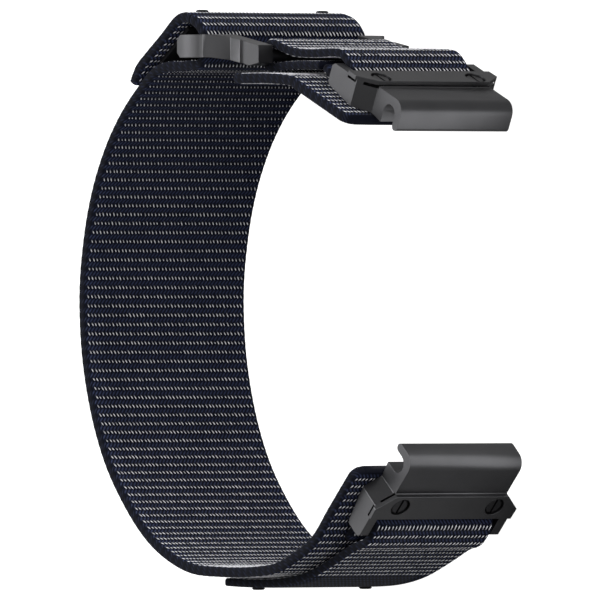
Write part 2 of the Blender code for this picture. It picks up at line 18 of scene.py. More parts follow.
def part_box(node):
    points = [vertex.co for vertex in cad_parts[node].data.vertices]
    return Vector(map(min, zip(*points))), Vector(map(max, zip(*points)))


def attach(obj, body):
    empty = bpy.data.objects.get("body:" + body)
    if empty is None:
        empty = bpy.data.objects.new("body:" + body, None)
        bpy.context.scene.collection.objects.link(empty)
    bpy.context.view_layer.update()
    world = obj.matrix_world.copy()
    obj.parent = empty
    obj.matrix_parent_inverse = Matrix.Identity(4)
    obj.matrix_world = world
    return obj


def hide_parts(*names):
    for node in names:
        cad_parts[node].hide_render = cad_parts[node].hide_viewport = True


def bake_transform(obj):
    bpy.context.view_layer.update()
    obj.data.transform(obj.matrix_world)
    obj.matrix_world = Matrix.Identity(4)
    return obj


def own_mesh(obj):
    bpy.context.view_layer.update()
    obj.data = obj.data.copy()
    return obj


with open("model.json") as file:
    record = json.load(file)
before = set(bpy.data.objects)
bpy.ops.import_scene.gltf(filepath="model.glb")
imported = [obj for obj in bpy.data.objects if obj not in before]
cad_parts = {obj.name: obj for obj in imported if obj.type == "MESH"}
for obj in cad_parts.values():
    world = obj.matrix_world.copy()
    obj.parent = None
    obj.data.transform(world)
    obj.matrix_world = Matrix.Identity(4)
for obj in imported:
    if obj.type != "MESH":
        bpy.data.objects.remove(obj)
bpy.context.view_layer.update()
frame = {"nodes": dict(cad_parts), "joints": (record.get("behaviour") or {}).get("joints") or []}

MM = 0.001
NODES = frame["nodes"]
JOINTS = {joint["name"]: joint for joint in frame["joints"]}

# %% [markdown]
# ## Camera
# A small product is usually taken from far away with a long lens, which keeps its parallel edges
# parallel. The camera stands above the forearm side and in front of the gap, and is rolled a
# quarter turn, so that the open loop reads as a letter C.

# %% Place the camera
VIEW_ANGLE = math.radians(52.0)     # from straight above the rim, towards the gap
VIEW_WIDTH = 64.5856 * MM           # metres that the picture spans at the band
LENS_MM = 1500.0
SENSOR_MM = 36.0
NEAREST, FARTHEST = 0.05, 20.0      # metres that the camera can see between
AIM = Vector((-2.38 * MM, -0.05 * MM, 12.1 * MM))


def place_camera():
    """Distance over view width is focal length over sensor width, on the line through AIM."""
    toward = Vector((math.sin(VIEW_ANGLE), 0.0, math.cos(VIEW_ANGLE)))
    up = Vector((0.0, 1.0, 0.0))
    right = up.cross(toward)
    distance = LENS_MM / SENSOR_MM * VIEW_WIDTH
    data = bpy.data.cameras.new("camera")
    data.lens = LENS_MM
    data.sensor_width = SENSOR_MM
    data.clip_start, data.clip_end = NEAREST, FARTHEST
    camera = bpy.data.objects.new("camera", data)
    bpy.context.scene.collection.objects.link(camera)
    turn = Matrix((right, up, toward)).transposed().to_4x4()
    camera.matrix_world = Matrix.Translation(AIM + toward * distance) @ turn
    bpy.context.scene.camera = camera
    return distance


print("camera distance in m:", round(place_camera(), 3))

# %% [markdown]
# ## Floor and light
# A pale floor and large soft lamps give the even light of a catalogue picture. The strongest lamp
# is overhead, which is the band's forearm side, so the end faces are the brightest. A floor that
# only reflects comes out grey, and a brighter lamp would wash out the band, so the floor also
# glows, but only for rays that come straight from the camera: it looks white and lights nothing.
# A small lamp just above the floor, in front of the hooks and hidden from the camera, stands in
# for the light that a real white table throws up at dark metal.

# %% Helpers for colours, shader nodes and materials


def hex_colour(text):
    """Linear RGBA of an sRGB hex colour."""
    channels = np.array([int(text[i:i + 2], 16) for i in (1, 3, 5)]) / 255.0
    linear = np.where(channels <= 0.04045, channels / 12.92, ((channels + 0.055) / 1.055) ** 2.4)
    return (*linear.tolist(), 1.0)


def add_node(tree, kind, settings=None, values=None, links=None):
    """Add one shader node: its settings, the values of its inputs, and links into its inputs."""
    node = tree.nodes.new(kind)
    for key, value in (settings or {}).items():
        setattr(node, key, value)
    for key, value in (values or {}).items():
        node.inputs[key].default_value = value
    for key, source in (links or {}).items():
        tree.links.new(source, node.inputs[key])
    return node


def new_material(name, values):
    """A material with one Principled shader whose sockets hold the given values."""
    material = bpy.data.materials.new(name)
    material.use_nodes = True
    shader = material.node_tree.nodes["Principled BSDF"]
    for key, value in values.items():
        shader.inputs[key].default_value = value
    return material, material.node_tree, shader


# %% Stage
WHITE = (1.0, 1.0, 1.0, 1.0)
FLOOR_SIZE = 6.0
WORLD_STRENGTH = 0.16
LAMPS = {
    # place and size in metres, power in watts
    "overhead": ((-0.15, 0.25, 0.60), 0.50, 5.0),
    "front": ((0.70, 0.05, 0.35), 0.50, 2.2),
    "back": ((-0.62, 0.00, 0.49), 0.45, 0.85),
}
CARD_PLACE = (46 * MM, -3 * MM, 0.6 * MM)
CARD_SIZE = (28 * MM, 44 * MM)
CARD_POWER = 0.0068


def make_floor():
    """A wide white floor at Z = 0, which glows for the camera alone."""
    paper, tree, shader = new_material("pale_paper", {
        "Base Color": hex_colour("#9c9c9c"), "Roughness": 0.9, "Emission Color": WHITE})
    ray = add_node(tree, "ShaderNodeLightPath")
    tree.links.new(ray.outputs["Is Camera Ray"], shader.inputs["Emission Strength"])
    bpy.ops.mesh.primitive_plane_add(size=FLOOR_SIZE)
    floor = bpy.context.object
    floor.name = "floor"
    floor.data.materials.append(paper)


def area_lamp(name, place, size, power):
    """A soft lamp at a place, facing straight down until it is turned."""
    data = bpy.data.lights.new(name, "AREA")
    data.size = size
    data.energy = power
    lamp = bpy.data.objects.new(name, data)
    bpy.context.scene.collection.objects.link(lamp)
    lamp.location = place
    return lamp


def make_lights():
    """Three lamps aimed at the origin, the low card facing up, and an even white surround."""
    for name, (place, size, power) in LAMPS.items():
        lamp = area_lamp(name, place, size, power)
        lamp.rotation_euler = (-Vector(place)).to_track_quat("-Z", "Y").to_euler()
    card = area_lamp("low_card", CARD_PLACE, CARD_SIZE[0], CARD_POWER)
    card.data.shape = "RECTANGLE"
    card.data.size_y = CARD_SIZE[1]
    card.rotation_euler = (math.pi, 0.0, 0.0)
    card.visible_camera = False
    world = bpy.data.worlds.new("studio")
    world.use_nodes = True
    background = world.node_tree.nodes["Background"]
    background.inputs["Color"].default_value = WHITE
    background.inputs["Strength"].default_value = WORLD_STRENGTH
    bpy.context.scene.world = world
    bpy.context.scene.view_settings.view_transform = "Standard"


make_floor()
make_lights()
print("lamps in watts:", {name: power for name, (_, _, power) in LAMPS.items()}, CARD_POWER)

# %% [markdown]
# ## Paths of the fabric
# Every strip of fabric is one path in the plan, carried along the band's width. The points are
# the same as the model's: round the wrist, through the ring, back over the fold. They are given
# from the loop's middle, and two joints say where that middle is: the ring turns about its narrow
# bar, and the connectors about theirs. A Catmull-Rom curve passes through the points, and is
# then measured and cut into equal steps, because a weave needs even spacing.

# %% Ways to give a place in the plan
RING_AXIS = np.array(JOINTS["ring_swing"]["pos_m"][:2])
RING_BAR = np.array([1.7, 26.2]) * MM
SHIFT = RING_AXIS - RING_BAR
MIDDLE_Z = JOINTS["ring_swing"]["pos_m"][2]
UPPER_AXIS = np.array(JOINTS["upper_connector_tilt"]["pos_m"][:2])
LOWER_AXIS = np.array(JOINTS["lower_connector_tilt"]["pos_m"][:2])


def unit(angle):
    """Unit vectors at an angle, or at many angles, in degrees."""
    turn = np.radians(angle)
    return np.stack([np.cos(turn), np.sin(turn)], -1)


def latch_direction(side):
    """The way from a connector's rear bar to its hook: against the latch's own slide."""
    return -np.array(JOINTS[f"{side}_latch_slide"]["axis"][:2])


def outward(side):
    """The way out of the wrist loop at a connector: its direction turned a quarter turn."""
    x, y = latch_direction(side)
    return np.array([-y, x]) if side == "upper" else np.array([y, -x])


def near_bar(side, along, out):
    """Plan points given from a connector's rear bar, in millimetres along and out of it."""
    axis = UPPER_AXIS if side == "upper" else LOWER_AXIS
    pairs = np.stack(np.broadcast_arrays(along, out), -1).reshape(-1, 2) * MM
    return axis + pairs[:, :1] * latch_direction(side) + pairs[:, 1:] * outward(side)


def plan(*pairs):
    """Plan points given from the loop's middle, in millimetres."""
    return np.array(pairs) * MM + SHIFT


# %% Points of each strip
WRAP = 1.30         # middle of the webbing from the axis of the bar inside it, in mm
LINING = -2.65      # middle of the wide band from the bar's axis, out of the loop, in mm


def round_bar(side, start, end, count=7):
    """Points round a connector's bar, angles in degrees from its direction."""
    turn = unit(np.linspace(start, end, count)) * WRAP
    return near_bar(side, turn[:, 0], turn[:, 1])


def round_ring(centre, distance, angles):
    """Points at a distance in mm round a point of the ring."""
    return plan(centre) + unit(np.array(angles)) * distance * MM


MAIN_POINTS = np.concatenate([
    near_bar("lower", [5.4, 2.2, -0.8, -5.1], LINING),
    plan((9.4, -27.55), (6.0, -28.75), (1.0, -29.2), (-4.2, -29.2), (-8.6, -28.9)),
    plan((-12.5, -27.6), (-16.0, -25.6), (-19.3, -22.6), (-22.6, -18.5), (-24.8, -14.4)),
    plan((-26.3, -10.2), (-27.25, -6.0), (-27.65, -2.0), (-27.65, 1.6), (-27.2, 5.2)),
    plan((-26.3, 9.2), (-24.9, 13.0), (-23.0, 16.5), (-21.0, 19.2), (-19.2, 21.1)),
    plan((-17.5, 22.6), (-15.9, 23.9), (-14.4, 24.75), (-12.5, 25.1), (-10.4, 25.1)),
    plan((-9.1, 25.2), (-7.26, 25.3), (-6.48, 26.22), (-6.3, 27.45), (-6.39, 28.38)),
    plan((-6.75, 28.95), (-7.5, 29.65), (-8.5, 30.15)),
])
TAIL_POINTS = plan(
    (-8.5, 30.15), (-9.9, 30.4), (-11.3, 29.9), (-13.6, 28.1), (-16.0, 26.35), (-17.7, 25.0),
    (-18.75, 23.4))
LINING_POINTS = np.concatenate([
    near_bar("upper", [5.4, 2.2, -0.8, -3.8], LINING),
    plan((8.9, 23.4), (6.3, 23.65), (3.5, 23.75), (1.2, 23.75), (-0.8, 23.75)),
])
LOWER_WEB_POINTS = np.concatenate([
    near_bar("lower", [-3.6, -1.8], [-1.4, -1.3]),
    round_bar("lower", -90, 78),
    near_bar("lower", [-1.7, -3.5], [1.2, 0.1]),
    plan((12.9, -27.75), (8.6, -29.35), (4.7, -30.15), (0.6, -30.45)),
    plan((-3.0, -30.45), (-6.2, -30.35)),
])
UPPER_WEB_POINTS = np.concatenate([
    plan((11.0, 24.85), (12.6, 23.7)),
    round_bar("upper", -90, 60),
    plan((14.1, 26.1), (12.4, 26.45), (9.0, 26.4), (6.0, 26.5), (4.1, 26.85)),
    round_ring((1.7, 26.2), WRAP, [78, 120, 162, 200, 240, 282]),
    plan((4.2, 25.1), (7.0, 25.15), (10.2, 25.1)),
])

# %% Even steps along a path


def catmull_rom(points, steps=40):
    """Curve through the points: on each span a cubic whose end slopes are half the chord."""
    before = 2 * points[:1] - points[1:2]
    after = 2 * points[-1:] - points[-2:-1]
    knots = np.concatenate([before, points, after])
    a, b, c, d = (knots[i:len(knots) - 3 + i, None, :] for i in range(4))
    t = np.linspace(0.0, 1.0, steps, endpoint=False)[None, :, None]
    curve = 0.5 * (2 * b + (c - a) * t + (2 * a - 5 * b + 4 * c - d) * t ** 2
                   + (3 * b - a - 3 * c + d) * t ** 3)
    return np.concatenate([curve.reshape(-1, 2), points[-1:]])


class Path:
    """A plan curve measured along its length: places and unit normals at any distance."""

    def __init__(self, points):
        curve = catmull_rom(points)
        steps = np.linalg.norm(np.diff(curve, axis=0), axis=1)
        self.marks = np.concatenate([[0.0], np.cumsum(steps)])
        self.curve = curve
        self.length = self.marks[-1]

    def at(self, s):
        """Places at distances s, each read off between the two nearest marks."""
        return np.stack([np.interp(s, self.marks, self.curve[:, i]) for i in (0, 1)], -1)

    def along(self, s, reach=0.12 * MM):
        """Unit tangent: the step from just before s to just after it, over its length."""
        low = np.clip(s - reach, 0.0, self.length)
        high = np.clip(s + reach, 0.0, self.length)
        step = self.at(high) - self.at(low)
        return step / np.linalg.norm(step, axis=-1, keepdims=True)

    def normal(self, s):
        """Unit normal: the tangent turned a quarter turn to the left."""
        x, y = np.moveaxis(self.along(s), -1, 0)
        return np.stack([-y, x], -1)


PATHS = {
    "main": Path(MAIN_POINTS), "tail": Path(TAIL_POINTS), "lining": Path(LINING_POINTS),
    "lower_web": Path(LOWER_WEB_POINTS), "upper_web": Path(UPPER_WEB_POINTS),
}
print("lengths in mm:", {k: round(p.length / MM, 1) for k, p in PATHS.items()})

# %% [markdown]
# ## Mesh from numpy
# A grid of points becomes a mesh in one go. Each strap is a closed tube of quads whose cross
# section is a flat bar with round edges, and its two ends are closed by one many-sided face.

# %% Mesh helpers


def mesh_object(name, verts, faces, uv=None):
    """New object from an array of points, a list of faces and optional UVs for each corner."""
    mesh = bpy.data.meshes.new(name)
    mesh.from_pydata(verts.reshape(-1, 3).tolist(), [], faces)
    if uv is not None:
        layer = mesh.uv_layers.new(name="weave")
        layer.data.foreach_set("uv", np.asarray(uv, np.float32).ravel())
    mesh.polygons.foreach_set("use_smooth", np.full(len(mesh.polygons), True))
    mesh.update()
    obj = bpy.data.objects.new(name, mesh)
    bpy.context.scene.collection.objects.link(obj)
    return obj


def tube_faces(stations, ring):
    """Quads of a closed tube: corner j of ring i, the same corner of the next ring, and so on."""
    i, j = np.meshgrid(np.arange(stations - 1), np.arange(ring), indexing="ij")
    k = (j + 1) % ring
    quads = np.stack([i * ring + j, (i + 1) * ring + j, (i + 1) * ring + k, i * ring + k], -1)
    return quads.reshape(-1, 4)


# %% [markdown]
# ## Weave
# The cloth is a navy nylon webbing. Its weft makes a low rib every millimetre across the width,
# and on each rib a pale yarn comes up as a row of short slanted dashes, which dive back into the
# cloth at their tails. The ribs and the dashes are both real geometry, because they are what
# the eye and a fingertip find first. Selvedges stay plain.

# %% Sizes of the weave
ROW_PITCH = 1.02 * MM
DASH_PITCH = 0.475 * MM
DASH_LENGTH = 0.58 * MM
DASH_HALF = 0.076 * MM
DASH_SLANT = 0.28 * MM      # sideways shift of a dash over its length
DASH_RISE = 0.045 * MM
DASH_LEAD = 0.35            # share of a dash that lies before its row
SELVEDGE = 0.22 * MM
EDGE_ROUND = 0.30 * MM      # radius of a strap's long edges
RIB_HEIGHT = 0.05 * MM
EDGE_SWELL = 0.12           # how much more a rounded edge stands out on a rib
STEPS_PER_ROW = 6
ROW_MARGIN = 0.4            # rows left free at a strap's end
BAND_HALF = 11.0 * MM
WEB_HALF = 8.0 * MM
END_CORNER = 1.2 * MM       # rounding of the wide band where it ends behind a connector
BAND_THICK = 1.06 * MM
WEB_THICK = 0.88 * MM
print("dashes across the wide band:", int(2 * (BAND_HALF - SELVEDGE) / DASH_PITCH))

# %% Strap surface


def half_widths(s, wide, corner):
    """Half width at s: full, but for a quarter circle cut off each corner at the start."""
    back = np.clip(corner - s, 0.0, corner)
    return wide - corner + np.sqrt(np.maximum(corner ** 2 - back ** 2, 0.0))


def strap_section(thick, columns=10, corner=4):
    """Cross section of a strap: across is -1 to 1 on the flats, with four rounded corners."""
    flat = np.linspace(1.0, -1.0, columns)
    turn = np.linspace(0, math.pi / 2, corner)
    level = thick / 2 - EDGE_ROUND
    out = np.concatenate([np.sin(turn), np.cos(turn)]) * EDGE_ROUND
    up = np.concatenate([level + np.cos(turn) * EDGE_ROUND, -level - np.sin(turn) * EDGE_ROUND])
    side = np.ones(2 * corner)
    across = np.concatenate([flat, -side, -flat, side])
    bulge = np.concatenate([0 * flat, -out, 0 * flat, out])
    lift = np.concatenate([0 * flat + thick / 2, up, 0 * flat - thick / 2, -up])
    return across, bulge, lift


def make_strap(name, path, thick, half, material):
    """Strap along a path: point = path + normal * lift + Z * width, with a rib on each row."""
    count = int(round(path.length / ROW_PITCH * STEPS_PER_ROW)) + 1
    s = np.linspace(0.0, path.length, count)
    across, bulge, lift = strap_section(thick)
    place = path.at(s)[:, None, :]
    normal = path.normal(s)[:, None, :]
    width = half(s)[:, None] - EDGE_ROUND
    rib = RIB_HEIGHT * (0.5 + 0.5 * np.cos(math.tau * s[:, None] / ROW_PITCH))
    inside = np.clip((1.0 - np.abs(across)) * width / SELVEDGE, 0.0, 1.0)
    height = lift + np.sign(lift) * (rib - RIB_HEIGHT / 2) * inside
    xy = place + normal * height[..., None]
    z = MIDDLE_Z + across * width + bulge * (1.0 + EDGE_SWELL * rib / RIB_HEIGHT)
    verts = np.concatenate([xy, z[..., None]], -1)
    ring = len(across)
    quads = tube_faces(count, ring)
    faces = quads.tolist()
    faces.append(list(range(ring)))
    faces.append(list(range((count - 1) * ring + ring - 1, (count - 1) * ring - 1, -1)))
    u = (s / MM)[:, None] + 0.0 * z
    v = (z - MIDDLE_Z + lift) / MM
    uv = np.stack([u, v], -1).reshape(-1, 2)
    corners = [uv[quads.ravel()]] + [uv[f] for f in faces[-2:]]
    obj = mesh_object(name, verts, faces, np.concatenate(corners))
    obj.data.materials.append(material)
    return obj


# %% [markdown]
# ## Dashes
# A pale yarn floats over a rib as a short slanted bead. Thousands of them need to be cheap, so
# each is ten points: a tip, two rings of four, and a tip that dives under. No two floats on real
# cloth are alike, so each one's length, depth and place across wander a little, from a fixed seed.

# %% One dash
DASH_SECTIONS = np.array([
    # along, half width, height: a blunt head, a full middle and a tail that dives
    (0.00, 0.00, -0.10), (0.20, 0.95, 0.85), (0.55, 0.85, 0.70), (1.00, 0.00, -0.60),
])
DASH_FOOT = -0.5            # height of its sides' lower edge, under the cloth
DASH_TOP = 0.6              # share of its width that its top keeps


def dash_template():
    """One dash as 10 points: head tip, two rings of four points, tail tip."""
    head, near, far, tail = DASH_SECTIONS
    points = [(head[0], 0.0, head[2])]
    for along, half, height in (near, far):
        points += [(along, -half, DASH_FOOT), (along, -half * DASH_TOP, height)]
        points += [(along, half * DASH_TOP, height), (along, half, DASH_FOOT)]
    points.append((tail[0], 0.0, tail[2]))
    faces = [(0, 2, 1), (0, 3, 2), (0, 4, 3), (0, 1, 4)]
    faces += [(1, 2, 6, 5), (2, 3, 7, 6), (3, 4, 8, 7), (4, 1, 5, 8)]
    faces += [(9, 5, 6), (9, 6, 7), (9, 7, 8), (9, 8, 5)]
    return np.array(points), faces


# %% Rows of dashes
MOST_COLUMNS = 60                       # columns tried on each side of the middle
DASH_WANDER = 0.02                      # spread of a dash's place across the strap, in mm
STRETCH_SPREAD = 0.14
STRETCH_RANGE = (0.6, 1.25)             # a dash's length, in shares of DASH_LENGTH
SINK_SPREAD = 0.10                      # spread of a dash's depth, in shares of DASH_RISE
LOW_SHARE, LOW_DEPTH = 0.02, 0.6        # a few dashes lie this much deeper


def make_dashes(name, path, thick, half, side, material, seed, stop=None):
    """Rows of dashes on one face: each dash is the template laid on the strap's surface."""
    stop = path.length if stop is None else stop
    last = math.floor(stop / ROW_PITCH - ROW_MARGIN)
    rows = np.arange(math.ceil(ROW_MARGIN), last + 1) * ROW_PITCH
    columns = np.arange(-MOST_COLUMNS, MOST_COLUMNS + 1) * DASH_PITCH
    s, z = (a.ravel() for a in np.meshgrid(rows, columns, indexing="ij"))
    keep = np.abs(z) < half(s) - SELVEDGE - DASH_SLANT / 2
    s, z = s[keep], z[keep]
    rng = np.random.default_rng(seed)
    z = z + rng.normal(0, DASH_WANDER, len(s)) * MM
    stretch = np.clip(rng.normal(1.0, STRETCH_SPREAD, len(s)), *STRETCH_RANGE)
    sunk = rng.normal(0.0, SINK_SPREAD, len(s)) + LOW_DEPTH * (rng.random(len(s)) < LOW_SHARE)
    template, faces = dash_template()
    along, wide, high = template.T
    at = s[:, None] + (along - DASH_LEAD) * DASH_LENGTH * stretch[:, None]
    at = np.clip(at, 0.0, path.length)
    slant = (along - DASH_LEAD) * DASH_SLANT * stretch[:, None]
    over = z[:, None] + wide * DASH_HALF + slant
    rise = (high - sunk[:, None]) * DASH_RISE + thick / 2 + RIB_HEIGHT / 2
    xy = path.at(at) + path.normal(at) * (side * rise)[..., None]
    verts = np.concatenate([xy, (MIDDLE_Z + over)[..., None]], -1)
    count = len(template)
    faces = [face if side > 0 else face[::-1] for face in faces]
    copies = [[n * count + i for i in face] for n in range(len(s)) for face in faces]
    share = np.tile(np.concatenate([along[list(face)] for face in faces]), len(s))
    tone = np.repeat(rng.random(len(s)), sum(len(face) for face in faces))
    obj = mesh_object(name, verts, copies, np.stack([share, tone], -1))
    obj.data.materials.append(material)
    print(name, len(s), "dashes")
    return obj


# %% [markdown]
# ## Finishes of the cloth
# Nylon 6.6 multifilament is dyed in the yarn, so its colour is deep and nearly even, with a soft
# sheen at a glancing angle from the round filaments. Between the dashes the ground shows as a
# fine twill, drawn here as slanted waves in the strap's own UV, which is in millimetres. Threads
# that turn over a strap's edge show no floats, so the faces that look up or down are darker.

# %% Helpers for patterns
MIX_A, MIX_B, MIX_OUT = 6, 7, 2     # the colour sockets of a Mix node
RGBA = {"data_type": "RGBA"}
TIMES = {"operation": "MULTIPLY"}


def colour_stops(ramp, *stops):
    """Give a colour ramp its stops: a place from 0 to 1 and a hex colour each."""
    for element, (position, colour) in zip(ramp.color_ramp.elements, stops):
        element.position = position
        element.color = hex_colour(colour)


def wave(tree, place, along, across, shift=0.0):
    """A sine of the UV: so many waves in each millimetre along and across the strap."""
    turns = add_node(tree, "ShaderNodeVectorMath", {"operation": "DOT_PRODUCT"}, {
        1: (along * math.tau, across * math.tau, 0.0)}, {0: place})
    moved = add_node(tree, "ShaderNodeMath", {"operation": "ADD"}, {1: shift},
                     {0: turns.outputs["Value"]})
    sine = add_node(tree, "ShaderNodeMath", {"operation": "SINE"}, {},
                    {0: moved.outputs["Value"]})
    return add_node(tree, "ShaderNodeMath", {"operation": "MULTIPLY_ADD"}, {1: 0.5, 2: 0.5},
                    {0: sine.outputs["Value"]}).outputs["Value"]


# %% Cloth materials


def woven_navy():
    """Dyed nylon ground: navy so deep it is nearly black, with dim slanted floats between rows."""
    material, tree, shader = new_material("woven_nylon_navy", {
        "Roughness": 0.9, "IOR": 1.53, "Specular IOR Level": 0.12,
        "Sheen Weight": 0.04, "Sheen Roughness": 0.5,
    })
    place = add_node(tree, "ShaderNodeUVMap", {"uv_map": "weave"}).outputs["UV"]
    floats = wave(tree, place, 0.8 / (DASH_PITCH / MM), 1.0 / (DASH_PITCH / MM))
    between = wave(tree, place, 1.0 / (ROW_PITCH / MM), 0.0, -math.pi / 2)
    grain = add_node(tree, "ShaderNodeTexNoise", {}, {
        "Scale": 7.0, "Detail": 3.0, "Roughness": 0.7}, {"Vector": place})
    twill = add_node(tree, "ShaderNodeMath", TIMES, {}, {0: floats, 1: between})
    cloth = add_node(tree, "ShaderNodeMath", TIMES, {}, {
        0: twill.outputs["Value"], 1: grain.outputs["Fac"]}).outputs["Value"]
    ramp = add_node(tree, "ShaderNodeValToRGB", {}, {}, {"Fac": cloth})
    colour_stops(ramp, (0.08, "#070a18"), (0.60, "#3a4260"))
    facing = add_node(tree, "ShaderNodeNewGeometry")
    upright = add_node(tree, "ShaderNodeSeparateXYZ", {}, {}, {
        "Vector": facing.outputs["True Normal"]})
    steep = add_node(tree, "ShaderNodeMath", {"operation": "ABSOLUTE"}, {}, {
        0: upright.outputs["Z"]})
    edge = add_node(tree, "ShaderNodeMapRange", {}, {
        "From Min": 0.3, "From Max": 0.8, "To Max": 0.75}, {"Value": steep.outputs["Value"]})
    colour = add_node(tree, "ShaderNodeMix", RGBA, {MIX_B: hex_colour("#07080e")}, {
        "Factor": edge.outputs["Result"], MIX_A: ramp.outputs["Color"]})
    tree.links.new(colour.outputs[MIX_OUT], shader.inputs["Base Color"])
    bump = add_node(tree, "ShaderNodeBump", {}, {"Strength": 0.6, "Distance": 0.06 * MM},
                    {"Height": cloth})
    tree.links.new(bump.outputs["Normal"], shader.inputs["Normal"])
    return material


def pale_yarn():
    """Undyed nylon float, each dash its own tone, with painted shade from a bright head to a dark
    tail where the yarn dives.
    """
    material, tree, shader = new_material("pale_nylon_yarn", {
        "Roughness": 0.6, "IOR": 1.53, "Specular IOR Level": 0.3})
    place = add_node(tree, "ShaderNodeUVMap", {"uv_map": "weave"})
    parts = add_node(tree, "ShaderNodeSeparateXYZ", {}, {}, {"Vector": place.outputs["UV"]})
    tone = add_node(tree, "ShaderNodeMapRange", {}, {
        "To Min": 0.80, "To Max": 2.20}, {"Value": parts.outputs["Y"]})
    # painted shade: each dash darkens along its length towards the tail that dives into the cloth
    painted_dive_shade = add_node(tree, "ShaderNodeMapRange", {"interpolation_type": "SMOOTHSTEP"}, {
        "From Min": 0.80, "From Max": 0.10}, {"Value": parts.outputs["X"]})
    bright = add_node(tree, "ShaderNodeMath", TIMES, {}, {
        0: tone.outputs["Result"], 1: painted_dive_shade.outputs["Result"]})
    ramp = add_node(tree, "ShaderNodeValToRGB", {}, {}, {"Fac": bright.outputs["Value"]})
    colour_stops(ramp, (0.0, "#1c2030"), (0.95, "#fafaff"))
    tree.links.new(ramp.outputs["Color"], shader.inputs["Base Color"])
    return material


def black_thread():
    """Black nylon tape and thread: matt, with a fine grain of filaments."""
    material, tree, shader = new_material("black_nylon_thread", {
        "Roughness": 0.9, "IOR": 1.53, "Specular IOR Level": 0.2})
    place = add_node(tree, "ShaderNodeTexCoord")
    grain = add_node(tree, "ShaderNodeTexNoise", {}, {"Scale": 6000.0, "Detail": 2.0},
                     {"Vector": place.outputs["Object"]})
    ramp = add_node(tree, "ShaderNodeValToRGB", {}, {}, {"Fac": grain.outputs["Fac"]})
    colour_stops(ramp, (0.0, "#050506"), (1.0, "#1c1c20"))
    tree.links.new(ramp.outputs["Color"], shader.inputs["Base Color"])
    bump = add_node(tree, "ShaderNodeBump", {}, {"Strength": 0.6, "Distance": 0.05 * MM},
                    {"Height": grain.outputs["Fac"]})
    tree.links.new(bump.outputs["Normal"], shader.inputs["Normal"])
    return material


NAVY = woven_navy()
PALE = pale_yarn()
BLACK = black_thread()
print("cloth finishes:", NAVY.name, PALE.name, BLACK.name)

# %% [markdown]
# ## Straps
# Five strips: the long band, its folded tail, the lining behind the upper connector, and the two
# loops of narrow webbing. The tail peels off at the fold; its pieces stay where they are made, on
# no body.

# %% Widths and dressing
PLAIN_END = 15.0 * MM       # the lower webbing's outer face has no dashes over this length at its end
TAIL_BEND = 4.0 * MM        # length over which the tail leaves the band


def band_half(s):
    """The wide band and the lining: rounded corners at the start."""
    return half_widths(s, BAND_HALF, END_CORNER)


def full_half(s):
    """The tail: the wide band's full width all along."""
    return np.full(np.shape(s), BAND_HALF)


def web_half(s):
    """The narrow webbing: one width all along."""
    return np.full(np.shape(s), WEB_HALF)


def settle(obj, body, slot, *nodes):
    """A finished piece rides on its body and hides the CAD nodes it stands for; its slot is not
    used.
    """
    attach(obj, body)
    if nodes:
        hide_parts(*nodes)
    return obj


def dress(name, path, thick, half, seed, outer_stop=None):
    """A strap with dashes on both faces; the outer ones may stop short of the end."""
    strap = make_strap(name, path, thick, half, NAVY)
    outer = make_dashes(f"{name}_outer_dashes", path, thick, half, 1, PALE, seed, stop=outer_stop)
    inner = make_dashes(f"{name}_inner_dashes", path, thick, half, -1, PALE, seed + 1)
    return strap, outer, inner


# %% Make the straps


def make_straps():
    """The four strips that ride on the band's own body, each with its dashes."""
    rows = {
        "band_fabric": ("main", BAND_THICK, band_half, "main_band"),
        "lining_fabric": ("lining", BAND_THICK, band_half, "upper_lining"),
        "lower_web_fabric": ("lower_web", WEB_THICK, web_half, "lower_webbing"),
        "upper_web_fabric": ("upper_web", WEB_THICK, web_half, "upper_webbing"),
    }
    for seed, (name, (key, thick, half, node)) in enumerate(rows.items()):
        plain = PATHS[key].length - PLAIN_END if key == "lower_web" else None
        strap, outer, inner = dress(name, PATHS[key], thick, half, 10 * seed, plain)
        settle(strap, "band", "woven_nylon", node)
        settle(outer, "band", "woven_nylon")
        settle(inner, "band", "woven_nylon")


def make_tail():
    """The tail and its dashes, in the places where they are made; the CAD tail is hidden."""
    path = PATHS["tail"]
    start = Vector((*path.at(0.0), MIDDLE_Z))
    end = Vector((*path.at(TAIL_BEND), MIDDLE_Z))
    for piece in dress("tail_fabric", path, BAND_THICK, full_half, 70):
        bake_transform(piece)
        if piece.name == "tail_fabric":
            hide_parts("tail")


make_straps()
make_tail()

# %% [markdown]
# ## Metal
# The hooks and the ring are stainless steel under a dark grey physical vapour coating with a
# satin, bead-blasted face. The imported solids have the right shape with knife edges, and no real
# edge is that sharp, so a merged copy of each gets a small bevel that catches the light.

# %% Metal materials


def coated_steel(name, dark, light, roughness):
    """Bead-blasted steel under a dark coat: grain 0.1 mm wide, and slow patches of tone."""
    material, tree, shader = new_material(name, {"Metallic": 1.0, "Roughness": roughness})
    place = add_node(tree, "ShaderNodeTexCoord")
    grain = add_node(tree, "ShaderNodeTexNoise", {}, {
        "Scale": 9000.0, "Detail": 2.0, "Roughness": 0.6}, {"Vector": place.outputs["Object"]})
    cloud = add_node(tree, "ShaderNodeTexNoise", {}, {"Scale": 350.0, "Detail": 2.0},
                     {"Vector": place.outputs["Object"]})
    tone = add_node(tree, "ShaderNodeMix", RGBA, {
        MIX_A: hex_colour(dark), MIX_B: hex_colour(light)}, {"Factor": cloud.outputs["Fac"]})
    tree.links.new(tone.outputs[MIX_OUT], shader.inputs["Base Color"])
    bump = add_node(tree, "ShaderNodeBump", {}, {"Strength": 0.25, "Distance": 0.02 * MM},
                    {"Height": grain.outputs["Fac"]})
    tree.links.new(bump.outputs["Normal"], shader.inputs["Normal"])
    return material


COATED = coated_steel("coated_steel_satin", "#505052", "#59595b", 0.40)
SCREWS = coated_steel("coated_screw_steel", "#363638", "#404042", 0.36)
SPRING, _, _ = new_material("spring_wire_steel", {
    "Base Color": hex_colour("#8c8c90"), "Metallic": 1.0, "Roughness": 0.3})
print("metal finishes:", COATED.name, SCREWS.name, SPRING.name)

